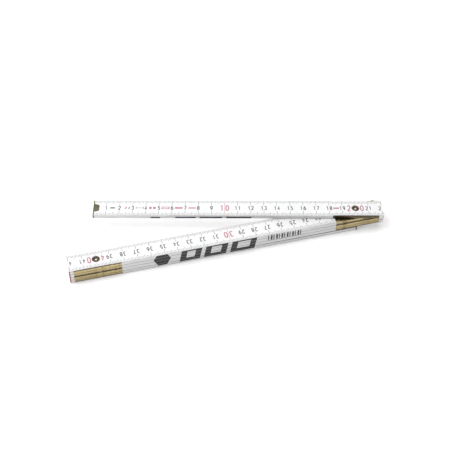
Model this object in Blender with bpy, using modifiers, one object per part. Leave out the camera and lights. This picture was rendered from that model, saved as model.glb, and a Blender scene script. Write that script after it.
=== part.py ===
"""A 1 m folding rule: five wooden sections stacked on four spring joints, the top one swung open.

The closed stack lies along X on the plane z = 0, with the origin under its middle. Section 1 is the top
layer and starts the scale, and section 5 lies on the table. Lengths are in metres.
"""

import math

import bmesh
import bpy
from mathutils import Matrix

MM = 0.001

# Sections
SECTION_COUNT = 5
PIVOT_SPACING = 200 * MM
END_OVERHANG = 21 * MM
SECTION_WIDTH = 16 * MM
SECTION_THICKNESS = 3 * MM
LAYER_GAP = 0.1 * MM
OPENING_ANGLE = math.radians(-14.25)
END_CORNER_RADIUS = 0.5 * MM
END_CORNER_SEGMENTS = 4
LONG_EDGE_RADIUS = 0.12 * MM
LONG_EDGE_SEGMENTS = 2

# Joint plates: sheet-metal channels let into the wood, one on each side of a joint
PLATE_LENGTH = 35.2 * MM
SHEET = 0.5 * MM
PLATE_CLEARANCE = 0.05 * MM
FLANGE_EDGE_GAP = 0.25 * MM
PLATE_BEND_RADIUS = 0.15 * MM
PLATE_BEND_SEGMENTS = 2
FLANGE_EDGE_RADIUS = 0.3 * MM
FLANGE_EDGE_SEGMENTS = 3
FLANGE_END_CHAMFER = 0.4 * MM
DETENT_CIRCLE_RADIUS = 5.2 * MM
DETENT_HOLE_RADIUS = 0.85 * MM
DETENT_HOLES = 4
DETENT_BUMP_RADIUS = 0.7 * MM
DETENT_BUMP_TIP_RADIUS = 0.35 * MM
DETENT_BUMP_HEIGHT = 0.06 * MM
DETENT_STEPS = 16
CLAW_HEIGHT = 1 * MM
CLAW_RADIUS = 0.55 * MM
CLAW_TIP_RADIUS = 0.11 * MM
CLAW_SIDES = 4
CLAW_PLACE_X = 13.8 * MM
CLAW_PLACE_Y = 4.8 * MM
CLAW_POCKET_CLEARANCE = 0.12 * MM
CLAW_POCKET_TIP_RADIUS = 0.24 * MM

# Pivot rivet, with a cupped head at each end, and the spring washer under its lower head
SHANK_RADIUS = 1.8 * MM
HEAD_RADIUS = 2.85 * MM
HEAD_HEIGHT = 0.83 * MM
HEAD_BELOW_FACE = 0.02 * MM
HEAD_CHAMFER = 0.1 * MM
CUP_RADIUS = 1.0 * MM
CUP_FLOOR_RADIUS = 0.8 * MM
CUP_FLOOR_BELOW_CROWN = 0.6 * MM
CROWN_HEIGHT = 0.5 * MM
CROWN_POINTS = 7
HEAD_SEAT_GAP = 0.05 * MM
BORE_RADIUS = 1.95 * MM
HEAD_POCKET_RADIUS = 3.0 * MM
WASHER_INNER_RADIUS = 2.0 * MM
WASHER_OUTER_RADIUS = 2.8 * MM
WASHER_SHEET = 0.3 * MM
WASHER_RISE = 0.25 * MM
ROUND_STEPS = 32
MERGE_DISTANCE = 0.001 * MM

# End caps: a strip over the end of the wood with a tab folded onto each face
CAP_SHEET = 1.1 * MM
CAP_CLEARANCE = 0.05 * MM
TAB_LENGTH = 4.7 * MM
TAB_ROOT_WIDTH = 8.6 * MM
TAB_TIP_WIDTH = 6.2 * MM
TAB_CORNER_RADIUS = 0.9 * MM
TAB_CORNER_SEGMENTS = 4
TAB_CLAW_FROM_TIP = 1.2 * MM
TAB_CLAW_HEIGHT = 0.7 * MM

LAYER_PITCH = SECTION_THICKNESS + LAYER_GAP
HALF_SPACING = PIVOT_SPACING / 2
HALF_WIDTH = SECTION_WIDTH / 2
HALF_THICKNESS = SECTION_THICKNESS / 2
CUT_MARGIN = 1 * MM
POSITION_SLACK = 0.01 * MM
ALONG_X, ALONG_Y, ALONG_Z = range(3)
PLATE_RECESS = SHEET + PLATE_CLEARANCE
OUTER_FACE_ABOVE_JOINT = LAYER_GAP / 2 + SECTION_THICKNESS
HEAD_TOP = OUTER_FACE_ABOVE_JOINT - HEAD_BELOW_FACE
HEAD_SEAT = HEAD_TOP - HEAD_HEIGHT
HEAD_POCKET_DEPTH = OUTER_FACE_ABOVE_JOINT - HEAD_SEAT + HEAD_SEAT_GAP
WASHER_POCKET_DEPTH = HEAD_POCKET_DEPTH + WASHER_SHEET + WASHER_RISE + HEAD_SEAT_GAP

# Finish: base colour, roughness, metallic
FINISHES = {
    "painted_wood": ((0.90, 0.90, 0.88, 1), 0.45, 0.0),
    "brass_plate": ((0.62, 0.53, 0.33, 1), 0.35, 1.0),
    "bronzed_plate": ((0.20, 0.17, 0.11, 1), 0.40, 1.0),
    "end_cap_metal": ((0.24, 0.22, 0.14, 1), 0.40, 1.0),
    "rivet_metal": ((0.30, 0.26, 0.20, 1), 0.35, 1.0),
    "spring_steel": ((0.45, 0.45, 0.46, 1), 0.30, 1.0),
}


def clear_scene():
    for obj in list(bpy.data.objects):
        bpy.data.objects.remove(obj, do_unlink=True)


def new_collection(name):
    collection = bpy.data.collections.new(name)
    bpy.context.scene.collection.children.link(collection)
    return collection


def make_material(name, colour, roughness, metallic):
    material = bpy.data.materials.new(name)
    material.use_nodes = True
    shader = material.node_tree.nodes["Principled BSDF"]
    shader.inputs["Base Color"].default_value = colour
    shader.inputs["Roughness"].default_value = roughness
    shader.inputs["Metallic"].default_value = metallic
    return material


def box_mesh(name, low, high):
    """A box between two corners."""
    mesh = bpy.data.meshes.new(name)
    shape = bmesh.new()
    bmesh.ops.create_cube(shape, size=1)
    sizes = [b - a for a, b in zip(low, high)]
    middle = [(a + b) / 2 for a, b in zip(low, high)]
    bmesh.ops.scale(shape, vec=sizes, verts=shape.verts)
    bmesh.ops.translate(shape, vec=middle, verts=shape.verts)
    shape.to_mesh(mesh)
    shape.free()
    return mesh


def disc_mesh(name, radius, low, high, segments=ROUND_STEPS, tip_radius=None):
    """A cylinder about Z between two heights, or a cone when its upper end has its own radius."""
    mesh = bpy.data.meshes.new(name)
    shape = bmesh.new()
    bmesh.ops.create_cone(
        shape,
        cap_ends=True,
        segments=segments,
        radius1=radius,
        radius2=radius if tip_radius is None else tip_radius,
        depth=high - low,
    )
    bmesh.ops.translate(shape, vec=(0, 0, (low + high) / 2), verts=shape.verts)
    shape.to_mesh(mesh)
    shape.free()
    return mesh


def shift_mesh(mesh, x, y):
    mesh.transform(Matrix.Translation((x, y, 0)))


def bevel_mesh_edges(mesh, chosen, radius, segments):
    """Rounds the edges that chosen(edge) picks."""
    shape = bmesh.new()
    shape.from_mesh(mesh)
    edges = [edge for edge in shape.edges if chosen(edge)]
    bmesh.ops.bevel(
        shape, geom=edges, offset=radius, segments=segments, affect="EDGES", profile=0.5, clamp_overlap=True
    )
    shape.to_mesh(mesh)
    shape.free()


def edge_runs_along(edge, axis):
    start, end = (vertex.co for vertex in edge.verts)
    run = [abs(a - b) for a, b in zip(start, end)]
    return sum(run) - run[axis] < POSITION_SLACK


def place(name, mesh, collection, parent, location=(0, 0, 0), turn_x=0.0, material=None):
    obj = bpy.data.objects.new(name, mesh)
    collection.objects.link(obj)
    obj.parent = parent
    obj.location = location
    obj.rotation_euler = (turn_x, 0, 0)
    if material is not None:
        mesh.materials.append(material)
    return obj


class Builder:
    """Holds the two collections, and gives every sub-part a material of its own."""

    def __init__(self):
        clear_scene()
        self.parts = new_collection("folding_rule")
        self.helpers = new_collection("cutters")

    def part(self, name, mesh, parent, finish, location=(0, 0, 0), turn_x=0.0):
        material = make_material(f"{name}_{finish}", *FINISHES[finish])
        return place(name, mesh, self.parts, parent, location, turn_x, material)

    def combine(self, target, mesh, parent, location=(0, 0, 0), turn_x=0.0, operation="DIFFERENCE"):
        """Cuts a helper shape from the target, or joins it on."""
        helper = place(mesh.name, mesh, self.helpers, parent, location, turn_x)
        helper.hide_render = True
        helper.display_type = "WIRE"
        modifier = target.modifiers.new(mesh.name, "BOOLEAN")
        modifier.operation = operation
        modifier.object = helper
        modifier.solver = "EXACT"


def joint_end(joint):
    """+1 for the joints at the right-hand end of the closed stack, -1 for those at the left."""
    return 1 if joint % 2 == 1 else -1


def joints_of(section):
    """The joints of a section: the one above it, on its top face, and the one below it."""
    joints = []
    if section > 1:
        joints.append((section - 1, "top"))
    if section < SECTION_COUNT:
        joints.append((section, "underside"))
    return joints


def face_turn(face):
    """The turn about X that carries a piece made for an underside to the face it sits on."""
    return 0.0 if face == "underside" else math.pi


def face_height(face):
    return -HALF_THICKNESS if face == "underside" else HALF_THICKNESS


def make_section_frame(builder, section):
    """The empty that a section's pieces hang from: on the axis of the joint below it, at its mid-height."""
    height = (SECTION_COUNT - section) * LAYER_PITCH + HALF_THICKNESS
    axis_x = joint_end(section) * HALF_SPACING if section < SECTION_COUNT else 0.0
    frame = bpy.data.objects.new(f"section_{section}_frame", None)
    builder.parts.objects.link(frame)
    frame.location = (axis_x, 0, height)
    if section == 1:
        frame.rotation_euler = (0, 0, OPENING_ANGLE)
    return frame, -axis_x


def lath_mesh(name, left, right, round_left, round_right):
    """The plain bar of one section, its free ends rounded in plan and its long edges eased."""
    mesh = box_mesh(name, (left, -HALF_WIDTH, -HALF_THICKNESS), (right, HALF_WIDTH, HALF_THICKNESS))
    middle = (left + right) / 2

    def is_rounded_end(edge):
        at_right = edge.verts[0].co.x > middle
        return edge_runs_along(edge, ALONG_Z) and (round_right if at_right else round_left)

    def is_long_edge(edge):
        return edge_runs_along(edge, ALONG_X) and edge.calc_length() > PLATE_LENGTH

    bevel_mesh_edges(mesh, is_rounded_end, END_CORNER_RADIUS, END_CORNER_SEGMENTS)
    bevel_mesh_edges(mesh, is_long_edge, LONG_EDGE_RADIUS, LONG_EDGE_SEGMENTS)
    return mesh


def claw_mesh(base, tip):
    """A pointed claw that stands up from a sheet."""
    return disc_mesh("claw", CLAW_RADIUS, base, tip, segments=CLAW_SIDES, tip_radius=CLAW_TIP_RADIUS)


def claw_pocket_mesh(base, tip):
    """The room a claw makes for itself in the wood."""
    return disc_mesh(
        "claw_pocket",
        CLAW_RADIUS + CLAW_POCKET_CLEARANCE,
        base,
        tip + CLAW_POCKET_CLEARANCE,
        segments=CLAW_SIDES,
        tip_radius=CLAW_POCKET_TIP_RADIUS,
    )


def claw_places():
    return [(x, y) for x in (-CLAW_PLACE_X, CLAW_PLACE_X) for y in (-CLAW_PLACE_Y, CLAW_PLACE_Y)]


def cut_joint_seat(builder, lath, frame, pivot_x, face):
    """Room in the wood for one joint plate, its claws, the rivet's shank and one rivet head."""
    place_at = (pivot_x, 0, face_height(face))
    turn = face_turn(face)
    half = PLATE_LENGTH / 2 + PLATE_CLEARANCE
    outside = HALF_WIDTH + CUT_MARGIN
    above = SECTION_THICKNESS + CUT_MARGIN
    web_room = box_mesh("web_room", (-half, -outside, -CUT_MARGIN), (half, outside, PLATE_RECESS))
    builder.combine(lath, web_room, frame, place_at, turn)
    for side in (-1, 1):
        near, far = sorted((side * (HALF_WIDTH - PLATE_RECESS), side * outside))
        flange_room = box_mesh("flange_room", (-half, near, -CUT_MARGIN), (half, far, above))
        builder.combine(lath, flange_room, frame, place_at, turn)
    for x, y in claw_places():
        pocket = claw_pocket_mesh(SHEET - CUT_MARGIN / 2, SHEET + CLAW_HEIGHT)
        shift_mesh(pocket, x, y)
        builder.combine(lath, pocket, frame, place_at, turn)
    shank_room = disc_mesh("shank_room", BORE_RADIUS, -CUT_MARGIN, above)
    builder.combine(lath, shank_room, frame, place_at, turn)
    depth = HEAD_POCKET_DEPTH if face == "underside" else WASHER_POCKET_DEPTH
    head_room = disc_mesh("head_room", HEAD_POCKET_RADIUS, SECTION_THICKNESS - depth, above)
    builder.combine(lath, head_room, frame, place_at, turn)


def plate_mesh(name):
    """A channel of sheet: a web on the joint's plane z = 0, and a flange up each side of the wood."""
    half = PLATE_LENGTH / 2
    top = SECTION_THICKNESS - FLANGE_EDGE_GAP
    mesh = box_mesh(name, (-half, -HALF_WIDTH, 0), (half, HALF_WIDTH, top))

    def is_upper_end(edge):
        return edge_runs_along(edge, ALONG_Y) and edge.verts[0].co.z > top / 2

    def is_bend(edge):
        return edge_runs_along(edge, ALONG_X) and edge.verts[0].co.z < top / 2

    def is_upper_long_edge(edge):
        return edge_runs_along(edge, ALONG_X) and edge.verts[0].co.z > top - POSITION_SLACK

    bevel_mesh_edges(mesh, is_upper_end, FLANGE_END_CHAMFER, 1)
    bevel_mesh_edges(mesh, is_bend, PLATE_BEND_RADIUS, PLATE_BEND_SEGMENTS)
    bevel_mesh_edges(mesh, is_upper_long_edge, FLANGE_EDGE_RADIUS, FLANGE_EDGE_SEGMENTS)
    return mesh


def make_joint_plate(builder, name, frame, pivot_x, face, finish):
    """One joint plate: the upper plate of a pair carries the detent bumps, the lower one their holes."""
    location = (pivot_x, 0, face_height(face))
    turn = face_turn(face)
    plate = builder.part(name, plate_mesh(name), frame, finish, location, turn)
    half = PLATE_LENGTH / 2 + CUT_MARGIN
    inside = HALF_WIDTH - SHEET
    above = SECTION_THICKNESS + CUT_MARGIN
    channel = box_mesh("channel_room", (-half, -inside, SHEET), (half, inside, above))
    builder.combine(plate, channel, frame, location, turn)
    rivet_hole = disc_mesh("rivet_hole", BORE_RADIUS, -CUT_MARGIN, CUT_MARGIN)
    builder.combine(plate, rivet_hole, frame, location, turn)
    for x, y in claw_places():
        claw = claw_mesh(SHEET / 2, SHEET + CLAW_HEIGHT)
        shift_mesh(claw, x, y)
        builder.combine(plate, claw, frame, location, turn, operation="UNION")
    if face == "underside":
        add_detent_bumps(builder, plate, frame, location, turn)
    else:
        cut_detent_holes(builder, plate, frame, location, turn)


def add_detent_bumps(builder, plate, frame, location, turn):
    """Two low bumps in line with the section, one each side of the pivot."""
    for side in (-1, 1):
        bump = disc_mesh(
            "detent_bump",
            DETENT_BUMP_TIP_RADIUS,
            -DETENT_BUMP_HEIGHT,
            SHEET / 2,
            segments=DETENT_STEPS,
            tip_radius=DETENT_BUMP_RADIUS,
        )
        shift_mesh(bump, side * DETENT_CIRCLE_RADIUS, 0)
        builder.combine(plate, bump, frame, location, turn, operation="UNION")


def cut_detent_holes(builder, plate, frame, location, turn):
    """Holes round the pivot that the bumps rest in at each quarter turn."""
    for step in range(DETENT_HOLES):
        angle = 2 * math.pi * step / DETENT_HOLES
        hole = disc_mesh(
            "detent_hole", DETENT_HOLE_RADIUS, -CUT_MARGIN, CUT_MARGIN, segments=DETENT_STEPS
        )
        shift_mesh(hole, DETENT_CIRCLE_RADIUS * math.cos(angle), DETENT_CIRCLE_RADIUS * math.sin(angle))
        builder.combine(plate, hole, frame, location, turn)


def turned(builder, name, profile, closed, frame, location, finish):
    """A solid of revolution about Z, from (radius, height) points that run down its outer side."""
    mesh = bpy.data.meshes.new(name)
    shape = bmesh.new()
    points = [shape.verts.new((radius, 0, height)) for radius, height in profile]
    ends = points[1:] + points[:1] if closed else points[1:]
    for start, end in zip(points, ends):
        shape.edges.new((start, end))
    shape.to_mesh(mesh)
    shape.free()
    obj = builder.part(name, mesh, frame, finish, location)
    screw = obj.modifiers.new("turn", "SCREW")
    screw.steps = ROUND_STEPS
    screw.render_steps = ROUND_STEPS
    screw.use_merge_vertices = True
    screw.merge_threshold = MERGE_DISTANCE
    screw.use_smooth_shade = True
    return obj


def rivet_head_profile():
    """The upper head, from the floor of its cup over the rolled crown to the seat."""
    crown_middle = (CUP_RADIUS + HEAD_RADIUS) / 2
    crown_half = (HEAD_RADIUS - CUP_RADIUS) / 2
    crown_base = HEAD_TOP - CROWN_HEIGHT
    cup_floor = HEAD_TOP - CUP_FLOOR_BELOW_CROWN
    points = [(0.0, cup_floor), (CUP_FLOOR_RADIUS, cup_floor)]
    for step in range(CROWN_POINTS):
        angle = math.pi * (1 - step / (CROWN_POINTS - 1))
        radius = crown_middle + crown_half * math.cos(angle)
        points.append((radius, crown_base + CROWN_HEIGHT * math.sin(angle)))
    points.append((HEAD_RADIUS, HEAD_SEAT + HEAD_CHAMFER))
    points.append((HEAD_RADIUS - HEAD_CHAMFER, HEAD_SEAT))
    points.append((SHANK_RADIUS, HEAD_SEAT))
    return points


def make_rivet(builder, joint, frame, pivot_x):
    """The pivot: a shank with a cupped head at each end, riding in the upper section."""
    head = rivet_head_profile()
    foot = [(radius, -height) for radius, height in reversed(head)]
    location = (pivot_x, 0, -HALF_THICKNESS - LAYER_GAP / 2)
    turned(builder, f"joint_{joint}_rivet", head + foot, False, frame, location, "rivet_metal")


def make_spring_washer(builder, joint, frame, pivot_x):
    """The coned washer that presses the two plates together, under the rivet's lower head."""
    low = -HEAD_SEAT + HEAD_SEAT_GAP
    profile = [
        (WASHER_OUTER_RADIUS, low + WASHER_SHEET),
        (WASHER_OUTER_RADIUS, low),
        (WASHER_INNER_RADIUS, low + WASHER_RISE),
        (WASHER_INNER_RADIUS, low + WASHER_RISE + WASHER_SHEET),
    ]
    location = (pivot_x, 0, HALF_THICKNESS + LAYER_GAP / 2)
    turned(builder, f"joint_{joint}_spring_washer", profile, True, frame, location, "spring_steel")


def tab_mesh(name, length, root_width, tip_width, low, high, corner_radius):
    """A tapering tab that runs along +X from the middle of the strip, with its two tip corners rounded."""
    mesh = box_mesh(name, (CAP_SHEET / 2, -root_width / 2, low), (length, root_width / 2, high))
    for vertex in mesh.vertices:
        if vertex.co.x > length / 2:
            vertex.co.y *= tip_width / root_width

    def is_tip_corner(edge):
        return edge_runs_along(edge, ALONG_Z) and edge.verts[0].co.x > length / 2

    bevel_mesh_edges(mesh, is_tip_corner, corner_radius, TAB_CORNER_SEGMENTS)
    return mesh


def mirrored_to(mesh, direction):
    """Turns a piece made for a left-hand end about Z, for the right-hand end."""
    if direction > 0:
        mesh.transform(Matrix.Rotation(math.pi, 4, "Z"))
    return mesh


def cap_strip_mesh(name):
    """The strip across a left-hand end, with its two outer edges eased."""
    low = (0, -HALF_WIDTH, -HALF_THICKNESS)
    high = (CAP_SHEET, HALF_WIDTH, HALF_THICKNESS)
    strip = box_mesh(name, low, high)

    def is_outer_edge(edge):
        return edge_runs_along(edge, ALONG_Y) and edge.verts[0].co.x < CAP_SHEET / 2

    bevel_mesh_edges(strip, is_outer_edge, PLATE_BEND_RADIUS, PLATE_BEND_SEGMENTS)
    return strip


def make_end_cap(builder, name, lath, frame, end_x, direction):
    """The cap on a free end: direction is -1 at a left-hand end and +1 at a right-hand end."""
    location = (end_x, 0, 0)
    strip = mirrored_to(cap_strip_mesh(name), direction)
    cap = builder.part(name, strip, frame, "end_cap_metal", location)
    for side in (-1, 1):
        add_cap_tab(builder, cap, lath, frame, location, direction, side)


def add_cap_tab(builder, cap, lath, frame, location, direction, side):
    """One tab with its claw, and the room for both in the wood: side is +1 on the top face."""
    low, high = sorted((side * HALF_THICKNESS, side * (HALF_THICKNESS - SHEET)))
    tab = tab_mesh("tab", TAB_LENGTH, TAB_ROOT_WIDTH, TAB_TIP_WIDTH, low, high, TAB_CORNER_RADIUS)
    builder.combine(cap, mirrored_to(tab, direction), frame, location, operation="UNION")
    low, high = sorted((side * (HALF_THICKNESS + CUT_MARGIN), side * (HALF_THICKNESS - PLATE_RECESS)))
    room = tab_mesh(
        "tab_room",
        TAB_LENGTH + CAP_CLEARANCE,
        TAB_ROOT_WIDTH + 2 * CAP_CLEARANCE,
        TAB_TIP_WIDTH + 2 * CAP_CLEARANCE,
        low,
        high,
        TAB_CORNER_RADIUS,
    )
    builder.combine(lath, mirrored_to(room, direction), frame, location)
    tip = SHEET / 2 + TAB_CLAW_HEIGHT
    claw = under_tab(claw_mesh(0, tip), direction, side)
    builder.combine(cap, claw, frame, location, operation="UNION")
    pocket = under_tab(claw_pocket_mesh(0, tip), direction, side)
    builder.combine(lath, pocket, frame, location)


def under_tab(spike, direction, side):
    """Carries an upright claw, or its pocket, to the inner face of a tab, pointing into the wood."""
    if side > 0:
        spike.transform(Matrix.Rotation(math.pi, 4, "X"))
    height = side * (HALF_THICKNESS - SHEET / 2)
    spike.transform(Matrix.Translation((TAB_LENGTH - TAB_CLAW_FROM_TIP, 0, height)))
    return mirrored_to(spike, direction)


def plate_finish(joint, face):
    """The first joint's upper plate is bronzed, and the others are bright brass."""
    return "bronzed_plate" if joint == 1 and face == "underside" else "brass_plate"


def make_section(builder, section):
    """One section with everything that turns with it."""
    frame, middle_x = make_section_frame(builder, section)
    starts_scale = section == 1
    ends_scale = section == SECTION_COUNT
    left = middle_x - HALF_SPACING - END_OVERHANG
    right = middle_x + HALF_SPACING + END_OVERHANG
    cap_room = CAP_SHEET + CAP_CLEARANCE
    if starts_scale:
        left = middle_x - HALF_SPACING + cap_room
    if ends_scale:
        right = middle_x + HALF_SPACING - cap_room
    name = f"section_{section}"
    mesh = lath_mesh(name, left, right, not starts_scale, not ends_scale)
    lath = builder.part(name, mesh, frame, "painted_wood")
    for joint, face in joints_of(section):
        pivot_x = middle_x + joint_end(joint) * HALF_SPACING
        cut_joint_seat(builder, lath, frame, pivot_x, face)
        which = "upper" if face == "underside" else "lower"
        plate_name = f"joint_{joint}_{which}_plate"
        make_joint_plate(builder, plate_name, frame, pivot_x, face, plate_finish(joint, face))
        if face == "underside":
            make_rivet(builder, joint, frame, pivot_x)
        else:
            make_spring_washer(builder, joint, frame, pivot_x)
    if starts_scale:
        make_end_cap(builder, "zero_end_cap", lath, frame, middle_x - HALF_SPACING, -1)
    if ends_scale:
        make_end_cap(builder, "far_end_cap", lath, frame, middle_x + HALF_SPACING, 1)


def main():
    builder = Builder()
    for section in range(1, SECTION_COUNT + 1):
        make_section(builder, section)


main()
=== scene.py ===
"""Looks of a white folding rule: painted wood, printed scales, brass-plated joints, floor, light and camera.

Lengths are in metres in the row frame: the closed stack lies along X on z = 0, with the origin under it.
"""

import math

import bmesh
import bpy
from mathutils import Matrix, Vector


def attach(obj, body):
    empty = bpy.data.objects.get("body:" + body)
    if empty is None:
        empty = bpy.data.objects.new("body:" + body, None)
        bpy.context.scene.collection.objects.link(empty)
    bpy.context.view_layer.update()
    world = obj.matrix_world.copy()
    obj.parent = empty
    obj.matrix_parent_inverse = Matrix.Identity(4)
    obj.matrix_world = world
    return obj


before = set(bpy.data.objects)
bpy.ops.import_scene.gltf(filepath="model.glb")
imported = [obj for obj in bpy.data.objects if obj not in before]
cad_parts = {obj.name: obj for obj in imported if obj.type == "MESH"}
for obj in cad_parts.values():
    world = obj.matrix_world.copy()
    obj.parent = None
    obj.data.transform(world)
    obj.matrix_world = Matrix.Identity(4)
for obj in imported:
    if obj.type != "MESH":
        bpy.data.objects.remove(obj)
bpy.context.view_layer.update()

MM = 0.001
CM = 0.01

# The rule's own dimensions, as in the CAD
SECTIONS = 5
PIVOT_SPACING = 200 * MM
OVERHANG = 21 * MM
WIDTH = 16 * MM
THICKNESS = 3 * MM
PITCH = 3.1 * MM
OPENING = math.radians(-14.25)
PLATE_HALF_LENGTH = 17.65 * MM
HEAD_POCKET_RADIUS = 3.0 * MM
BODIES = ["first_section", "second_section", "third_section", "fourth_section", "fifth_section"]

# The first and last reading of the scale on each section, in centimetres, and the rule's last millimetre
READINGS = ((0, 22), (18, 42), (38, 62), (58, 82), (78, 100))
LAST_MILLIMETRE = 1000

# How near a centimetre line has to be to a rivet to count as over it
PIVOT_SLACK = 1 * MM

# Printed scale: the ink is proud of the surface, starts a little under it, and rises where strokes cross
INK_PROUD = 0.006 * MM
INK_SUNK = 0.02 * MM
OVERPRINT = 0.003 * MM
MERGE_DISTANCE = 0.0001 * MM
TICK_WIDTH = 0.24 * MM
CM_LINE_WIDTH = 0.3 * MM
MM_TICK = 2.4 * MM
HALF_CM_TICK = 3.4 * MM
EDGE_MARGIN = 0.3 * MM
SIDE_MARGIN = 0.25 * MM
FLANGE_ROOM = 0.7 * MM
DIGIT_HEIGHT = 4.4 * MM
TENS_HEIGHT = 6.2 * MM
DIGIT_PROPORTION = 0.46
DIGIT_GAP = 0.28
STROKE = 0.145
ARC_POINTS = 12
LINE_GAP_HALF = 2.9 * MM
TENS_APART = 2.1 * MM
TENS_APART_AT_RIVET = 5.0 * MM

# Small plain marks on the first section: places are in centimetres on its scale, as starts and ends.
# A plain dash has half its height after them, and a slanted dash has only its start
MARK_STROKE = 0.36 * MM
MARK_HALF_HEIGHT = 1.25 * MM
GREY_DASH = (1.3, 1.65)
SLANTED_DASHES = (2.4, 2.65)
MEASURE_LINE = (3.25, 3.8)
MARK_BOX = (5.2, 5.8)
PLAIN_DASHES = (
    (4.25, 4.45, 1.2 * MM),
    (4.55, 4.75, 1.2 * MM),
    (6.22, 6.8, 0.9 * MM),
    (7.25, 7.8, 0.65 * MM),
    (18.3, 18.75, 0.75 * MM),
)

# Plain shapes on the side of the closed stack: each frame is where it starts and how wide it is
SIDE_PRINT_BOTTOM = 1.3 * MM
SIDE_PRINT_TOP = 13.9 * MM
HEXAGON_SPAN = (-59 * MM, -46 * MM)
FRAMES = ((-38.5 * MM, 15.5 * MM), (-20 * MM, 17 * MM), (0.2 * MM, 19 * MM))
FRAME_UPRIGHT = 4.6 * MM
FRAME_RAIL = 3.0 * MM
FRAME_LEAN = 2.4 * MM
SIDE_BARS = 13
SIDE_BARS_START = 28.5 * MM
SIDE_BARS_PITCH = 2.1 * MM
SIDE_BAR_WIDTHS = (0.7 * MM, 1.3 * MM)
SIDE_BARS_BOTTOM = 6.6 * MM
SIDE_BARS_TOP = 11.6 * MM
SIDE_PRINT_MARGIN = 0.04 * MM

# Grain along a section: how far the noise is stretched on each axis
DRAWN_GRAIN = (60, 2600, 2600)
WOOD_GRAIN = (60, 900, 900)

# Wood: where the paint is worn, where painted shade lies along the seams, and where it is red, as two
# distances from an edge, a face or an end
WORN_BAND = (0.14 * MM, 0.30 * MM)
SHADE_NEAR_FACE = (0.15 * MM, 0.48 * MM)
SHADE_NEAR_SIDE = (0.3 * MM, 0.1 * MM)
RED_COAT_DEPTH = (1.1 * MM, 1.6 * MM)
RED_BLEED_LEFT = (0.8 * MM, 1.2 * MM)
RED_BLEED_RIGHT = (0.5 * MM, 0.8 * MM)
RED_BLEED_SIDE = (0.2 * MM, 0.6 * MM)
WORN_RAGGED = 0.25 * MM
RED_RAGGED = 0.3 * MM

# The sections on each side of the seam that gets more painted shade along its length
SHADED_SEAM = (4, 5)
SHADED_SEAM_RUN = (-20 * MM, 70 * MM)

# The most painted shade along the sides' long edges: the open section, with no neighbours, gets less
MOST_SHADE_OPEN = 0.3
MOST_SHADE_CLOSED = 0.6

# How deep the relief of each material is
WOOD_RELIEF = 0.04 * MM
METAL_RELIEF = 0.02 * MM
INK_RELIEF = 0.01 * MM

# Wood colours: pairs are mixed by noise
WHITE_PAINT = ((0.80, 0.80, 0.80, 1), (0.77, 0.77, 0.775, 1))
GRAIN_SHADE = (0.70, 0.69, 0.68, 1)
BARE_WOOD = ((0.62, 0.45, 0.27, 1), (0.72, 0.56, 0.37, 1))
# The dark colour is painted shade for the seams between the stacked layers
SEAM_SHADE = (0.16, 0.155, 0.17, 1)
RED_PAINT = ((0.26, 0.012, 0.035, 1), (0.34, 0.02, 0.05, 1))

# Sheet metals: light and dark of the drawn grain, stain, and the lowest and highest roughness
UPPER_BRASS = ((0.50, 0.415, 0.23, 1), (0.35, 0.275, 0.143, 1), (0.26, 0.20, 0.097, 1), 0.16, 0.30)
LOWER_BRASS = ((0.445, 0.365, 0.20, 1), (0.32, 0.25, 0.128, 1), (0.245, 0.185, 0.09, 1), 0.16, 0.30)
# The first joint's upper plate is a much darker copy of the brass
DARK_FIRST_PLATE = ((0.13, 0.105, 0.07, 1), (0.09, 0.072, 0.048, 1), (0.06, 0.05, 0.04, 1), 0.22, 0.36)
SPRING_STEEL = ((0.50, 0.50, 0.52, 1), (0.42, 0.42, 0.44, 1), (0.33, 0.32, 0.31, 1), 0.25, 0.4)
CAP_METAL = ((0.20, 0.19, 0.125, 1), (0.145, 0.135, 0.085, 1), (0.09, 0.085, 0.055, 1), 0.28, 0.45)

# Painted shade towards a plate's dark edge, mixed with tarnish: it starts at a height from mid-thickness
# that depends on which edge is dark, and is full at its end
SHADE_AND_TARNISH_START = {1: 0.5 * MM, 0: -0.2 * MM, -1: -0.2 * MM}
SHADE_AND_TARNISH_END = 1.2 * MM
SHADE_AND_TARNISH_RAGGED = 1.2 * MM
SHADE_AND_TARNISH_MOST = 0.92
SHADE_AND_TARNISH_DEPTH = 0.3

# Rivets: the dulled rim, the painted highlight on the floor of the cup, and the radii over which that
# highlight fades out
RIM_METAL = ((0.060, 0.045, 0.035, 1), (0.14, 0.105, 0.075, 1))
CUP_HIGHLIGHT = ((0.80, 0.77, 0.70, 1), (0.68, 0.63, 0.54, 1))
CUP_HIGHLIGHT_EDGE = (0.6 * MM, 0.9 * MM)

# Edges sharper than this angle, in degrees, stay sharp on the turned pieces
SMOOTH_BELOW = 35

# Inks: each is mixed by noise between dense and thin print
BLACK_INK = ((0.055, 0.055, 0.06, 1), (0.13, 0.13, 0.135, 1))
GREY_INK = ((0.09, 0.10, 0.10, 1), (0.18, 0.19, 0.19, 1))
RED_INK = ((0.44, 0.17, 0.22, 1), (0.60, 0.34, 0.39, 1))
BOLD_INK = ((0.008, 0.008, 0.009, 1), (0.022, 0.022, 0.024, 1))
INK_ROUGHNESS = 0.42

# Floor and sky: the sky is dim in front, at low Y, and bright overhead and behind
FLOOR_SIZE = 20.0
FLOOR_DROP = 0.2 * MM
FLOOR_COLOURS = ((0.94, 0.94, 0.94, 1), (0.95, 0.95, 0.95, 1))
FLOOR_GLOW = 0.22
SKY_DIRECTIONS = (-0.6, 0.3)
SKY_STRENGTHS = (0.09, 1.1)

# Soft lights: name, place, size and power, each aimed at the origin
LIGHTS = (
    ("key", (-0.5, 0.15, 0.9), 0.6, 5.0),
    ("top", (0.0, 0.0, 1.2), 1.2, 2.8),
    ("left", (-1.1, -0.25, 0.4), 0.5, 2.5),
)

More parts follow.
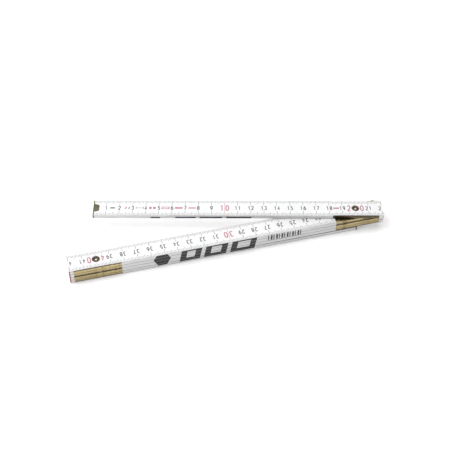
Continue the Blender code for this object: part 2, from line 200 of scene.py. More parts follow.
# The camera, in the directions of section 1 about its pivot
CAMERA_YAW = math.radians(1.34)
CAMERA_ELEVATION = math.radians(47.06)
CAMERA_ROLL = math.radians(1.05)
CAMERA_TARGET = (-92.3 * MM, -28.1 * MM, 0.0)
CAMERA_DISTANCE = 710 * MM
CAMERA_LENS = 73.2
CAMERA_SENSOR = 36
CAMERA_CLIP_START = 0.01


# ---------------------------------------------------------------- materials

class Graph:
    """A short way to write a node graph."""

    def __init__(self, name):
        self.material = bpy.data.materials.new(name)
        self.material.use_nodes = True
        self.tree = self.material.node_tree
        self.shader = self.tree.nodes["Principled BSDF"]

    def node(self, kind, inputs=None, **settings):
        made = self.tree.nodes.new(kind)
        for key, value in settings.items():
            setattr(made, key, value)
        for key, value in (inputs or {}).items():
            self.feed(made.inputs[key], value)
        return made

    def feed(self, target, value):
        if isinstance(value, bpy.types.NodeSocket):
            self.tree.links.new(value, target)
        else:
            target.default_value = value

    def math(self, operation, first, second=0.0):
        return self.node("ShaderNodeMath", {0: first, 1: second}, operation=operation).outputs[0]

    def ramp(self, value, low, high, out_low=0.0, out_high=1.0):
        made = self.node(
            "ShaderNodeMapRange",
            {"Value": value, "From Min": low, "From Max": high, "To Min": out_low, "To Max": out_high},
            interpolation_type="SMOOTHSTEP",
        )
        return made.outputs["Result"]

    def mix(self, share, first, second):
        made = self.node("ShaderNodeMix", data_type="RGBA")
        self.feed(made.inputs["Factor"], share)
        self.feed(made.inputs["A"], first)
        self.feed(made.inputs["B"], second)
        return made.outputs["Result"]

    def noise(self, vector, scale, detail=3.0, roughness=0.55, distortion=0.0):
        made = self.node(
            "ShaderNodeTexNoise",
            {
                "Vector": vector,
                "Scale": scale,
                "Detail": detail,
                "Roughness": roughness,
                "Distortion": distortion,
            },
        )
        return made.outputs["Fac"]

    def local(self, place, angle=0.0, stretch=(1, 1, 1), shift=(0, 0, 0)):
        """Object coordinates in a section's own directions: x along it from place, y across, z up."""
        source = self.node("ShaderNodeTexCoord").outputs["Object"]
        moved = self.node(
            "ShaderNodeVectorMath", {0: source, 1: tuple(-v for v in place)}, operation="ADD"
        ).outputs["Vector"]
        turned = self.node(
            "ShaderNodeVectorRotate", {"Vector": moved, "Angle": -angle}, rotation_type="Z_AXIS"
        )
        scaled = self.node(
            "ShaderNodeMapping", {"Vector": turned.outputs["Vector"], "Location": shift, "Scale": stretch}
        )
        return turned.outputs["Vector"], scaled.outputs["Vector"]

    def bump(self, height, strength, distance):
        made = self.node("ShaderNodeBump", {"Height": height, "Strength": strength, "Distance": distance})
        self.tree.links.new(made.outputs["Normal"], self.shader.inputs["Normal"])


def section_place(section):
    """(axis point on the section's underside, turn about Z): section 1 is swung open about its pivot."""
    if section == 1:
        return Vector((PIVOT_SPACING / 2, 0, (SECTIONS - 1) * PITCH)), OPENING
    return Vector((0, 0, (SECTIONS - section) * PITCH)), 0.0


def section_span(section):
    """Where the section starts and ends along its own x, from its place."""
    shift = -PIVOT_SPACING / 2 if section == 1 else 0.0
    left = shift - PIVOT_SPACING / 2 - (0 if section == 1 else OVERHANG)
    right = shift + PIVOT_SPACING / 2 + (0 if section == SECTIONS else OVERHANG)
    return left, right


def painted_wood(section):
    """White paint over straight grain; bare wood shows a little on worn edges, painted shade darkens the
    edges along the seams, and the cut ends are red.
    """
    graph = Graph(f"painted_wood_{section}")
    place, angle = section_place(section)
    left, right = section_span(section)
    seed = (0.31 * section, 0.17 * section, 0.07 * section)
    local, grain_space = graph.local(place, angle, WOOD_GRAIN, seed)
    _, blotch_space = graph.local(place, angle, (1, 1, 1), seed)
    parts = graph.node("ShaderNodeSeparateXYZ", {0: local})
    along, across, height = parts.outputs
    grain = graph.noise(grain_space, 1.0, 4.0, 0.6, 0.4)
    blotch = graph.noise(blotch_space, 45.0, 2.0)
    speck = graph.noise(blotch_space, 900.0, 2.0)

    paint = graph.mix(graph.ramp(blotch, 0.35, 0.7), *WHITE_PAINT)
    paint = graph.mix(graph.ramp(grain, 0.62, 0.78, 0.0, 0.30), paint, GRAIN_SHADE)
    wood = graph.mix(grain, *BARE_WOOD)

    to_side = graph.math("SUBTRACT", WIDTH / 2, graph.math("ABSOLUTE", across))
    to_face = graph.math(
        "SUBTRACT", THICKNESS / 2, graph.math("ABSOLUTE", graph.math("SUBTRACT", height, THICKNESS / 2))
    )
    to_left = graph.math("SUBTRACT", along, left)
    to_right = graph.math("SUBTRACT", right, along)
    to_end = graph.math("MINIMUM", to_left, to_right)
    corner = graph.math("ADD", graph.math("MAXIMUM", to_side, 0.0), graph.math("MAXIMUM", to_face, 0.0))
    uneven = graph.math("MULTIPLY", graph.math("SUBTRACT", speck, 0.5), WORN_RAGGED)
    ragged = graph.math("ADD", corner, uneven)
    worn = graph.ramp(ragged, *WORN_BAND, 1.0, 0.0)
    worn = graph.math("MULTIPLY", worn, graph.ramp(blotch, 0.48, 0.62))
    colour = graph.mix(graph.math("MULTIPLY", worn, 0.35), paint, wood)

    # Painted shade along the long edges of the sides, stronger on the closed sections and by the seam of
    # sections 4 and 5
    near_face = graph.ramp(to_face, *SHADE_NEAR_FACE, 1.0, 0.0)
    along_seams = graph.math("MULTIPLY", near_face, graph.ramp(to_side, *SHADE_NEAR_SIDE))
    most_shade = MOST_SHADE_OPEN if section == 1 else MOST_SHADE_CLOSED
    seam_shade_share = graph.math("MULTIPLY", along_seams, graph.ramp(blotch, 0.3, 0.65, most_shade / 3, most_shade))
    if section in SHADED_SEAM:
        rise = (0.0, 1.0) if section == SECTIONS else (1.0, 0.0)
        inner = graph.ramp(height, THICKNESS * 0.4, THICKNESS * 0.6, *rise)
        seam_run_shade = graph.math("MULTIPLY", inner, graph.ramp(along, *SHADED_SEAM_RUN, 0.0, 0.6))
        seam_shade_share = graph.math("ADD", seam_shade_share, graph.math("MULTIPLY", along_seams, seam_run_shade))
    colour = graph.mix(seam_shade_share, colour, SEAM_SHADE)

    normal = graph.node("ShaderNodeSeparateXYZ", {0: end_normal(graph, angle)}).outputs[0]
    facing_end = graph.ramp(graph.math("ABSOLUTE", normal), 0.45, 0.75)
    near_end = graph.ramp(to_end, *RED_COAT_DEPTH, 1.0, 0.0)
    spread = graph.math("MULTIPLY", speck, RED_RAGGED)
    bled_left = graph.ramp(graph.math("ADD", to_left, spread), *RED_BLEED_LEFT, 1.0, 0.0)
    bled_right = graph.ramp(graph.math("ADD", to_right, spread), *RED_BLEED_RIGHT, 0.4, 0.0)
    bled = graph.math("MAXIMUM", bled_left, bled_right)
    bled = graph.math("MULTIPLY", bled, graph.ramp(to_side, *RED_BLEED_SIDE, 0.95, 0.15))
    red = graph.math("MAXIMUM", graph.math("MULTIPLY", facing_end, near_end), bled)
    red_paint = graph.mix(graph.ramp(grain, 0.4, 0.7), *RED_PAINT)
    colour = graph.mix(red, colour, red_paint)

    graph.feed(graph.shader.inputs["Base Color"], colour)
    rough = graph.ramp(graph.noise(blotch_space, 160.0, 3.0), 0.3, 0.7, 0.34, 0.48)
    graph.feed(graph.shader.inputs["Roughness"], graph.math("ADD", rough, graph.math("MULTIPLY", worn, 0.2)))
    graph.bump(graph.math("ADD", grain, graph.math("MULTIPLY", speck, 0.25)), 0.25, WOOD_RELIEF)
    return graph.material


def end_normal(graph, angle):
    """The surface normal in the section's own directions, whatever way the body is turned."""
    geometry = graph.node("ShaderNodeNewGeometry").outputs["Normal"]
    in_object = graph.node(
        "ShaderNodeVectorTransform",
        {"Vector": geometry},
        vector_type="NORMAL",
        convert_from="WORLD",
        convert_to="OBJECT",
    ).outputs["Vector"]
    return graph.node(
        "ShaderNodeVectorRotate", {"Vector": in_object, "Angle": -angle}, rotation_type="Z_AXIS"
    ).outputs["Vector"]


def sheet_metal(name, light, dark, stain, rough_low, rough_high, section, dark_side=0):
    """Plated sheet with a drawn grain, tarnish in soft patches and painted shade towards one edge: dark_side
    is +1 for a dark upper edge.
    """
    graph = Graph(name)
    place, angle = section_place(section)
    local, drawn_space = graph.local(place, angle, DRAWN_GRAIN)
    _, patch_space = graph.local(place, angle)
    height = graph.node("ShaderNodeSeparateXYZ", {0: local}).outputs[2]
    drawn = graph.noise(drawn_space, 1.0, 3.0, 0.6)
    patch = graph.noise(patch_space, 260.0, 4.0, 0.6, 0.8)
    fine = graph.noise(patch_space, 2600.0, 2.0)
    colour = graph.mix(graph.ramp(drawn, 0.35, 0.65), dark, light)
    colour = graph.mix(graph.ramp(patch, 0.52, 0.72, 0.0, 0.75), colour, stain)
    # Painted shade towards the plate's dark edge, ragged by the patches; with no dark edge only patchy
    # tarnish is left
    from_middle = graph.math("MULTIPLY", graph.math("SUBTRACT", height, THICKNESS / 2), dark_side)
    ragged = graph.math("MULTIPLY", graph.math("SUBTRACT", patch, 0.5), SHADE_AND_TARNISH_RAGGED)
    edge = graph.math("ADD", from_middle, ragged)
    shade_and_tarnish = graph.ramp(edge, SHADE_AND_TARNISH_START[dark_side], SHADE_AND_TARNISH_END, 0.0, SHADE_AND_TARNISH_MOST)
    colour = graph.mix(shade_and_tarnish, colour, tuple(SHADE_AND_TARNISH_DEPTH * v for v in stain[:3]) + (1,))
    graph.feed(graph.shader.inputs["Base Color"], colour)
    graph.shader.inputs["Metallic"].default_value = 1.0
    uneven = graph.math("ADD", graph.math("MULTIPLY", patch, 0.7), graph.math("MULTIPLY", fine, 0.3))
    rough = graph.ramp(uneven, 0.35, 0.65, rough_low, rough_high)
    rough = graph.math("ADD", rough, graph.math("MULTIPLY", shade_and_tarnish, 0.15))
    graph.feed(graph.shader.inputs["Roughness"], rough)
    graph.bump(graph.math("ADD", drawn, graph.math("MULTIPLY", fine, 0.4)), 0.2, METAL_RELIEF)
    return graph.material


def rivet_metal(name, axis_x):
    """Dark plated rivet: the rolled rim is brown and dulled, and the floor of the cup carries a painted
    highlight.
    """
    graph = Graph(name)
    local, patch_space = graph.local((axis_x, 0, 0))
    parts = graph.node("ShaderNodeSeparateXYZ", {0: local})
    radius = graph.math(
        "SQRT",
        graph.math(
            "ADD",
            graph.math("MULTIPLY", parts.outputs[0], parts.outputs[0]),
            graph.math("MULTIPLY", parts.outputs[1], parts.outputs[1]),
        ),
    )
    rings = graph.node("ShaderNodeTexWave", {"Vector": patch_space, "Scale": 900.0, "Distortion": 1.5},
                       wave_type="RINGS", rings_direction="Z")
    patch = graph.noise(patch_space, 900.0, 3.0)
    rim = graph.mix(graph.ramp(patch, 0.35, 0.65), *RIM_METAL)
    cup = graph.mix(graph.ramp(patch, 0.35, 0.65), *CUP_HIGHLIGHT)
    # Painted highlight: the floor of the cup is coloured near white
    in_cup_highlight = graph.ramp(radius, *CUP_HIGHLIGHT_EDGE, 1.0, 0.0)
    graph.feed(graph.shader.inputs["Base Color"], graph.mix(in_cup_highlight, rim, cup))
    graph.shader.inputs["Metallic"].default_value = 1.0
    graph.feed(graph.shader.inputs["Roughness"], graph.ramp(patch, 0.3, 0.7, 0.28, 0.46))
    graph.bump(graph.math("ADD", rings.outputs["Fac"], patch), 0.15, METAL_RELIEF)
    return graph.material


def ink(name, dark, light):
    """Printing ink, uneven in density."""
    graph = Graph(name)
    _, space = graph.local((0, 0, 0))
    density = graph.noise(space, 700.0, 4.0, 0.65)
    graph.feed(graph.shader.inputs["Base Color"], graph.mix(graph.ramp(density, 0.45, 0.75), dark, light))
    rough = graph.ramp(density, 0.3, 0.7, INK_ROUGHNESS - 0.06, INK_ROUGHNESS + 0.08)
    graph.feed(graph.shader.inputs["Roughness"], rough)
    graph.bump(density, 0.1, INK_RELIEF)
    return graph.material


def floor_material():
    """A plain pale floor that glows a little, so that it stays pale in the shade."""
    graph = Graph("floor")
    _, space = graph.local((0, 0, 0))
    soft = graph.noise(space, 3.0, 2.0)
    graph.feed(graph.shader.inputs["Base Color"], graph.mix(soft, *FLOOR_COLOURS))
    graph.shader.inputs["Roughness"].default_value = 0.9
    graph.shader.inputs["Emission Color"].default_value = (1, 1, 1, 1)
    graph.shader.inputs["Emission Strength"].default_value = FLOOR_GLOW
    graph.shader.inputs["Specular IOR Level"].default_value = 0.1
    return graph.material


# ---------------------------------------------------------------- printed scale

def arc(middle_x, middle_y, radius_x, radius_y, start, end):
    """Points along an upright ellipse, between two angles in degrees."""
    points = []
    for step in range(ARC_POINTS + 1):
        angle = math.radians(start + (end - start) * step / ARC_POINTS)
        points.append((middle_x + radius_x * math.cos(angle), middle_y + radius_y * math.sin(angle)))
    return points


def ring(middle_x, middle_y, radius_x, radius_y):
    return arc(middle_x, middle_y, radius_x, radius_y, 0, 360)[:-1]


SIX = [(arc(0.86, 0.34, 0.86, 0.66, 100, 180), False), (ring(0.5, 0.32, 0.5, 0.32), True)]

# Plain upright numerals in a unit square: each is a few paths, open or closed
DIGITS = {
    "0": [(arc(0.5, 0.66, 0.5, 0.34, 0, 180) + arc(0.5, 0.34, 0.5, 0.34, 180, 360), True)],
    "1": [([(0.15, 0.74), (0.6, 1.0), (0.6, 0.0)], False)],
    "2": [(arc(0.5, 0.7, 0.46, 0.3, 165, -35) + [(0.02, 0.0), (1.0, 0.0)], False)],
    "3": [(arc(0.46, 0.75, 0.42, 0.25, 150, -70), False), (arc(0.46, 0.28, 0.5, 0.28, 70, -150), False)],
    "4": [([(0.74, 0.0), (0.74, 1.0), (0.0, 0.27)], False), ([(0.0, 0.27), (1.0, 0.27)], False)],
    "5": [([(0.92, 1.0), (0.2, 1.0), (0.12, 0.56)] + arc(0.48, 0.32, 0.5, 0.32, 115, -150), False)],
    "6": SIX,
    "7": [([(0.0, 1.0), (1.0, 1.0), (0.36, 0.0)], False)],
    "8": [(ring(0.5, 0.75, 0.42, 0.25), True), (ring(0.5, 0.27, 0.5, 0.27), True)],
    "9": [([(1 - x, 1 - y) for x, y in path], closed) for path, closed in SIX],
}


def ribbon_edges(points, half_width, closed):
    """The two edges of a band that follows a path."""
    left, right = [], []
    count = len(points)
    for i, (x, y) in enumerate(points):
        before = points[i - 1] if closed or i > 0 else None
        after = points[(i + 1) % count] if closed or i < count - 1 else None
        directions = []
        if before is not None:
            directions.append((Vector((x, y)) - Vector(before)).normalized())
        if after is not None:
            directions.append((Vector(after) - Vector((x, y))).normalized())
        run = (directions[0] + directions[-1]).normalized()
        mitre = half_width / max(run.dot(directions[0]), 0.5)
        left.append((x - run.y * mitre, y + run.x * mitre))
        right.append((x + run.y * mitre, y - run.x * mitre))
    return left, right


class Print:
    """Collects the ink of one colour on one section as thin closed slabs."""

    def __init__(self, name):
        self.name = name
        self.shape = bmesh.new()

    def slab(self, centre, along, across, size):
        """A thin slab on a surface: centre, two in-surface directions, and its size along each."""
        normal = along.cross(across)
        turn = Matrix((along, across, normal)).transposed().to_4x4()
        depth = INK_PROUD + INK_SUNK
        middle = centre + normal * (INK_PROUD - depth / 2)
        scale = Matrix.Diagonal((size[0], size[1], depth, 1))
        bmesh.ops.create_cube(self.shape, size=1, matrix=Matrix.Translation(middle) @ turn @ scale)

    def outline(self, centre, along, across, corners):
        """A thin closed slab of any flat outline, its corners given counter-clockwise in the surface."""
        normal = along.cross(across)
        base = [centre + along * x + across * y for x, y in corners]
        low = [self.shape.verts.new(p - normal * INK_SUNK) for p in base]
        high = [self.shape.verts.new(p + normal * INK_PROUD) for p in base]
        self.shape.faces.new(high)
        self.shape.faces.new(list(reversed(low)))
        for i in range(len(base)):
            j = (i + 1) % len(base)
            self.shape.faces.new((low[i], low[j], high[j], high[i]))

    def ribbon(self, centre, along, across, points, width, closed, top):
        """A thin closed band of constant width along a flat path, its corners mitred."""
        left, right = ribbon_edges(points, width / 2, closed)
        normal = along.cross(across)
        rows = []
        for side, height in ((left, top), (right, top), (right, -INK_SUNK), (left, -INK_SUNK)):
            rows.append([
                self.shape.verts.new(centre + along * x + across * y + normal * height) for x, y in side
            ])
        count = len(points)
        for i in range(count if closed else count - 1):
            j = (i + 1) % count
            for first, second in zip(rows, rows[1:] + rows[:1]):
                self.shape.faces.new((first[i], second[i], second[j], first[j]))
        if not closed:
            self.shape.faces.new([row[0] for row in reversed(rows)])
            self.shape.faces.new([row[-1] for row in rows])

    def number(self, words, centre, along, across, height, keep=None):
        """Numerals centred on a point; keep(offset) says whether a digit that far along is printed."""
        width = DIGIT_PROPORTION * height
        step = width + DIGIT_GAP * width
        stroke = STROKE * height
        for i, digit in enumerate(words):
            offset = (i - (len(words) - 1) / 2) * step
            if keep is not None and not keep(offset):
                continue
            top = INK_PROUD
            for path, closed in DIGITS[digit]:
                scaled = [
                    (offset + (x - 0.5) * (width - stroke), (y - 0.5) * (height - stroke)) for x, y in path
                ]
                self.ribbon(centre, along, across, scaled, stroke, closed, top)
                top += OVERPRINT

    def finish(self, material, body):
        mesh = bpy.data.meshes.new(self.name)
        bmesh.ops.remove_doubles(self.shape, verts=self.shape.verts, dist=MERGE_DISTANCE)
        self.shape.to_mesh(mesh)
        self.shape.free()
        obj = bpy.data.objects.new(self.name, mesh)
        bpy.context.scene.collection.objects.link(obj)
        mesh.materials.append(material)
        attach(obj, body)
        return obj


class Face:
    """One printed face of a section, with its directions and the scale's direction on it."""

    def __init__(self, section, side):
        self.section = section
        self.side = side
        place, angle = section_place(section)
        turn = Matrix.Rotation(angle, 3, "Z")
        self.place = place
        self.axis = turn @ Vector((1, 0, 0))
        self.cross = turn @ Vector((0, 1, 0))
        self.left, self.right = section_span(section)
        self.forward = 1 if section % 2 == 1 else -1
        self.start_cm = 20 * (section - 1) if section > 1 else 0

    def scale_to_x(self, centimetres):
        """The place along the section's own x of a reading on the scale."""
        zero_x = -PIVOT_SPACING if self.section == 1 else -self.forward * PIVOT_SPACING / 2
        return zero_x + self.forward * (centimetres * CM - self.start_cm * CM)

    def read_directions(self):
        """In-surface directions: along the way the numerals read, and up through them."""
        if self.side == "top":
            along = self.axis * self.forward
            return along, self.cross * self.forward
        along = self.axis * self.forward
        return along, -self.cross * self.forward

    def point(self, x, y):
        height = THICKNESS if self.side == "top" else 0.0
        return self.place + self.axis * x + self.cross * y + Vector((0, 0, height))

    def blocked(self, x, reach=0.0):
        """True where metal or a free end takes the place of wood, for print that reaches so far each way."""
        if x - reach < self.left + EDGE_MARGIN or x + reach > self.right - EDGE_MARGIN:
            return True
        plate_end = None
        if self.side == "top" and self.section > 1:
            plate_end = 1 if (self.section - 1) % 2 == 1 else -1
        if self.side == "underside" and self.section < SECTIONS:
            plate_end = 1 if self.section % 2 == 1 else -1
        if plate_end is not None:
            pivot_x = self.pivot_x(plate_end)
            if abs(x - pivot_x) < PLATE_HALF_LENGTH + EDGE_MARGIN + reach:
                return True
            if (x - pivot_x) * plate_end > 0:
                return True
        return False

    def pivot_x(self, end):
        shift = -PIVOT_SPACING / 2 if self.section == 1 else 0.0
        return shift + end * PIVOT_SPACING / 2

    def half_print_width(self, x):
        """How far from the middle print may go: less beside a plate, whose flanges take the wood's edges."""
        for joint in (self.section - 1, self.section):
            if 1 <= joint < SECTIONS:
                pivot_x = self.pivot_x(1 if joint % 2 == 1 else -1)
                if abs(x - pivot_x) < PLATE_HALF_LENGTH + EDGE_MARGIN:
                    return WIDTH / 2 - FLANGE_ROOM
        return WIDTH / 2 - SIDE_MARGIN

    def rivet_x(self):
        """Where a rivet head comes through this face, or None."""
        if self.side == "top" and self.section < SECTIONS:
            return self.pivot_x(1 if self.section % 2 == 1 else -1)
        if self.side == "underside" and self.section > 1:
            return self.pivot_x(1 if (self.section - 1) % 2 == 1 else -1)
        return None


def print_face(section, side, black, grey, red):
    """Ticks, centimetre lines and numerals on one face."""
    face = Face(section, side)
    along, up = face.read_directions()
    first, last = READINGS[section - 1]
    for step in range(first * 10, last * 10 + 10):
        x = face.scale_to_x(step / 10)
        half = face.half_print_width(x)
        if step % 10 == 0 and 0 < step < LAST_MILLIMETRE:
            print_centimetre(face, step // 10, x, along, up, half, black, grey, red)
        elif not face.blocked(x):
            length = HALF_CM_TICK if step % 5 == 0 else MM_TICK
            for way in (-1, 1):
                grey.slab(face.point(x, way * (half - length / 2)), along, up, (TICK_WIDTH, length))


def print_centimetre(face, number, x, along, up, half, black, grey, red):
    """A black numeral sits in its line's gap; a ten is larger and red, a digit each side of its line."""
    rivet = face.rivet_x()
    over_rivet = rivet is not None and abs(x - rivet) < PIVOT_SLACK
    tens = number % 10 == 0
    gap = 0.0 if tens else LINE_GAP_HALF
    if over_rivet:
        gap = HEAD_POCKET_RADIUS + 0.2 * MM
    if not face.blocked(x):
        for way in (-1, 1):
            middle = way * (gap + half) / 2
            (red if tens else grey).slab(face.point(x, middle), along, up, (CM_LINE_WIDTH, half - gap))
    way = 1 if along.dot(face.axis) > 0 else -1
    if tens:
        apart = TENS_APART_AT_RIVET if over_rivet else TENS_APART
        for digit, sign in zip(str(number), (-1, 1)):
            spot = x + way * sign * apart
            if not face.blocked(spot, DIGIT_PROPORTION * TENS_HEIGHT / 2):
                red.number(digit, face.point(spot, 0), along, up, TENS_HEIGHT)
        return
    reach = DIGIT_PROPORTION * DIGIT_HEIGHT / 2

    def on_wood(offset):
        return not face.blocked(x + way * offset, reach)

    black.number(str(number), face.point(x, 0), along, up, DIGIT_HEIGHT, on_wood)


def print_marks(face, grey, red):
    """Small plain marks between the first numerals: dashes, a line with end bars, and a box."""
    along, up = face.read_directions()

    def bar(shade, start_cm, end_cm, low, high):
        x = face.scale_to_x((start_cm + end_cm) / 2)
        size = ((end_cm - start_cm) * CM, high - low)
        shade.slab(face.point(x, (low + high) / 2), along, up, size)

    for start, end, half_height in PLAIN_DASHES:
        bar(red, start, end, -half_height, half_height)
    for start in SLANTED_DASHES:
        centre = face.point(face.scale_to_x(start), 0)
        red.outline(centre, along, up, [
            (0, -MARK_HALF_HEIGHT), (MARK_STROKE * 3, -MARK_HALF_HEIGHT),
            (MARK_STROKE * 5, MARK_HALF_HEIGHT), (MARK_STROKE * 2, MARK_HALF_HEIGHT),
        ])
    start, end = MEASURE_LINE
    bar(grey, start + MARK_STROKE / CM, end, -MARK_STROKE / 2, MARK_STROKE / 2)
    for place in (start, end):
        bar(grey, place, place + MARK_STROKE / CM, -MARK_HALF_HEIGHT, MARK_HALF_HEIGHT)
    left, right = MARK_BOX
    stroke = 2 * MARK_STROKE
    for low in (-MARK_HALF_HEIGHT, MARK_HALF_HEIGHT - stroke):
        bar(red, left, right, low, low + stroke)
    for place in (left, right - stroke / CM):
        bar(red, place, place + stroke / CM, stroke - MARK_HALF_HEIGHT, MARK_HALF_HEIGHT - stroke)
    bar(grey, *GREY_DASH, -2 * MARK_STROKE, 2 * MARK_STROKE)


def print_side(section, y_sign, black):
    """Plain bold shapes across the closed stack's side, each layer carrying its own slice of them."""
    place, angle = section_place(section)
    turn = Matrix.Rotation(angle, 3, "Z")
    axis = turn @ Vector((1, 0, 0))
    cross = turn @ Vector((0, 1, 0))
    shift = -PIVOT_SPACING / 2 if section == 1 else 0.0
    low = (SECTIONS - section) * PITCH
    along = axis * -y_sign
    up = Vector((0, 0, 1))
    surface = place + cross * (y_sign * WIDTH / 2)
    for corners in side_shapes():
        clipped = clip_band(corners, low + SIDE_PRINT_MARGIN, low + THICKNESS - SIDE_PRINT_MARGIN)
        if len(clipped) < 3:
            continue
        local = [(-y_sign * (shift + x), z - low) for x, z in clipped]
        if y_sign > 0:
            local.reverse()
        black.outline(surface, along, up, local)


def side_shapes():
    """Outlines in (x along the stack, height), in metres: a hexagon, three slanted frames and thin bars."""
    bottom, top = SIDE_PRINT_BOTTOM, SIDE_PRINT_TOP
    middle = (bottom + top) / 2
    left, right = HEXAGON_SPAN
    inset = (right - left) / 4
    shapes = [[
        (left, middle), (left + inset, bottom), (right - inset, bottom),
        (right, middle), (right - inset, top), (left + inset, top),
    ]]
    for left, width in FRAMES:
        for offset in (0.0, width - FRAME_UPRIGHT):
            shapes.append(slanted_bar(left + offset, FRAME_UPRIGHT, bottom, top, bottom, top))
        inner = (left + FRAME_UPRIGHT, width - 2 * FRAME_UPRIGHT)
        shapes.append(slanted_bar(*inner, bottom, bottom + FRAME_RAIL, bottom, top))
        shapes.append(slanted_bar(*inner, top - FRAME_RAIL, top, bottom, top))
    for step in range(SIDE_BARS):
        left = SIDE_BARS_START + step * SIDE_BARS_PITCH
        right = left + SIDE_BAR_WIDTHS[step % 2]
        shapes.append([
            (left, SIDE_BARS_BOTTOM), (right, SIDE_BARS_BOTTOM),
            (right, SIDE_BARS_TOP), (left, SIDE_BARS_TOP),
        ])
    return shapes


def slanted_bar(left, width, low, high, bottom, top):
    """The part between two heights of a bar that leans over its whole run from bottom to top."""
    def lean(height):
        return FRAME_LEAN * ((height - bottom) / (top - bottom) - 0.5)

    return [
        (left + lean(low), low), (left + width + lean(low), low),
        (left + width + lean(high), high), (left + lean(high), high),
    ]


def clip_band(corners, low, high):
    """The part of a convex outline between two heights."""
    for limit, keep_above in ((low, True), (high, False)):
        kept = []
        for i, (x, z) in enumerate(corners):
            nx, nz = corners[(i + 1) % len(corners)]
            inside = z >= limit if keep_above else z <= limit
            next_inside = nz >= limit if keep_above else nz <= limit
            if inside:
                kept.append((x, z))
            if inside != next_inside:
                share = (limit - z) / (nz - z)
                kept.append((x + share * (nx - x), limit))
        corners = kept
        if not corners:
            return []
    return corners


# ---------------------------------------------------------------- assembly of the looks

def give(node, material):
    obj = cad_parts[node]
    obj.data.materials.clear()
    obj.data.materials.append(material)


def shade_smooth(node, degrees):
    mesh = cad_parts[node].data
    mesh.shade_smooth()
    mesh.set_sharp_from_angle(angle=math.radians(degrees))


def dress_nodes():
    for section in range(1, SECTIONS + 1):
        give(f"section_{section}", painted_wood(section))
    for joint in range(1, SECTIONS):
        if joint == 1:
            upper = sheet_metal("dark_plate_1_upper", *DARK_FIRST_PLATE, joint)
        else:
            upper = sheet_metal(f"brass_{joint}_upper", *UPPER_BRASS, joint, 1)
        lower = sheet_metal(f"brass_{joint}_lower", *LOWER_BRASS, joint + 1, -1)
        give(f"joint_{joint}_upper_plate", upper)
        give(f"joint_{joint}_lower_plate", lower)
        axis_x = PIVOT_SPACING / 2 * (1 if joint % 2 == 1 else -1)
        give(f"joint_{joint}_rivet", rivet_metal(f"rivet_{joint}", axis_x))
        steel = sheet_metal(f"spring_steel_{joint}", *SPRING_STEEL, joint + 1)
        give(f"joint_{joint}_spring_washer", steel)
        shade_smooth(f"joint_{joint}_rivet", SMOOTH_BELOW)
        shade_smooth(f"joint_{joint}_spring_washer", SMOOTH_BELOW)
    for name, section in (("zero_end_cap", 1), ("far_end_cap", SECTIONS)):
        cap = sheet_metal(name + "_metal", *CAP_METAL, section)
        give(name, cap)


def print_all():
    black_ink = ink("black_ink", *BLACK_INK)
    grey_ink = ink("grey_ink", *GREY_INK)
    red_ink = ink("red_ink", *RED_INK)
    bold_ink = ink("bold_ink", *BOLD_INK)
    for section in range(1, SECTIONS + 1):
        body = BODIES[section - 1]
        for side in ("top", "underside"):
            black = Print(f"numerals_{section}_{side}")
            grey = Print(f"ticks_{section}_{side}")
            red = Print(f"tens_{section}_{side}")
            print_face(section, side, black, grey, red)
            if section == 1 and side == "top":
                print_marks(Face(section, side), grey, red)
            black.finish(black_ink, body)
            grey.finish(grey_ink, body)
            red.finish(red_ink, body)
        bold = Print(f"side_print_{section}")
        for y_sign in (-1, 1):
            print_side(section, y_sign, bold)
        bold.finish(bold_ink, body)


def add_floor():
    mesh = bpy.data.meshes.new("floor")
    shape = bmesh.new()
    bmesh.ops.create_grid(shape, x_segments=1, y_segments=1, size=FLOOR_SIZE)
    shape.to_mesh(mesh)
    shape.free()
    floor = bpy.data.objects.new("floor", mesh)
    floor.location = (0, 0, -FLOOR_DROP)
    bpy.context.scene.collection.objects.link(floor)
    mesh.materials.append(floor_material())


def add_area(name, location, size, power):
    light = bpy.data.lights.new(name, "AREA")
    light.shape = "SQUARE"
    light.size = size
    light.energy = power
    obj = bpy.data.objects.new(name, light)
    obj.location = location
    aim = -Vector(location)
    obj.rotation_euler = aim.to_track_quat("-Z", "Y").to_euler()
    bpy.context.scene.collection.objects.link(obj)


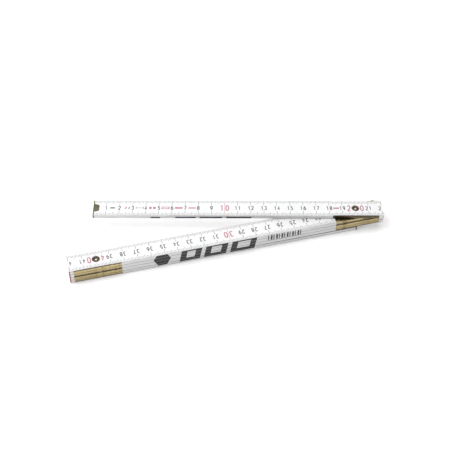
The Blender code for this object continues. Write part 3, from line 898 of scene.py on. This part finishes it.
def add_lights():
    """A bright soft sky overhead and behind, dimmer towards the front, and a soft key from the back left."""
    world = bpy.data.worlds.new("studio")
    bpy.context.scene.world = world
    world.use_nodes = True
    tree = world.node_tree
    background = tree.nodes["Background"]
    direction = tree.nodes.new("ShaderNodeTexCoord").outputs["Generated"]
    split = tree.nodes.new("ShaderNodeSeparateXYZ")
    tree.links.new(direction, split.inputs[0])
    fade = tree.nodes.new("ShaderNodeMapRange")
    fade.interpolation_type = "SMOOTHSTEP"
    tree.links.new(split.outputs[1], fade.inputs["Value"])
    fade.inputs["From Min"].default_value = SKY_DIRECTIONS[0]
    fade.inputs["From Max"].default_value = SKY_DIRECTIONS[1]
    fade.inputs["To Min"].default_value = SKY_STRENGTHS[0]
    fade.inputs["To Max"].default_value = SKY_STRENGTHS[1]
    tree.links.new(fade.outputs["Result"], background.inputs["Strength"])
    background.inputs["Color"].default_value = (1.0, 1.0, 1.0, 1)
    for light in LIGHTS:
        add_area(*light)
    bpy.context.scene.view_settings.view_transform = "Standard"


def add_camera():
    yaw, elevation, roll = CAMERA_YAW, CAMERA_ELEVATION, CAMERA_ROLL
    forward = Vector((
        math.sin(yaw) * math.cos(elevation), math.cos(yaw) * math.cos(elevation), -math.sin(elevation)
    ))
    right = Vector((math.cos(yaw), -math.sin(yaw), 0))
    up = right.cross(forward)
    right, up = (
        math.cos(roll) * right + math.sin(roll) * up,
        -math.sin(roll) * right + math.cos(roll) * up,
    )
    location = Vector(CAMERA_TARGET) - CAMERA_DISTANCE * forward
    pose = Matrix((right, up, -forward)).transposed().to_4x4()
    pose.translation = location
    pivot_top = Vector((PIVOT_SPACING / 2, 0, (SECTIONS - 1) * PITCH + THICKNESS))
    into_row = Matrix.Translation(pivot_top) @ Matrix.Rotation(OPENING, 4, "Z")
    data = bpy.data.cameras.new("camera")
    data.lens = CAMERA_LENS
    data.sensor_width = CAMERA_SENSOR
    data.clip_start = CAMERA_CLIP_START
    camera = bpy.data.objects.new("camera", data)
    camera.matrix_world = into_row @ pose
    bpy.context.scene.collection.objects.link(camera)
    bpy.context.scene.camera = camera


dress_nodes()
print_all()
add_floor()
add_lights()
add_camera()
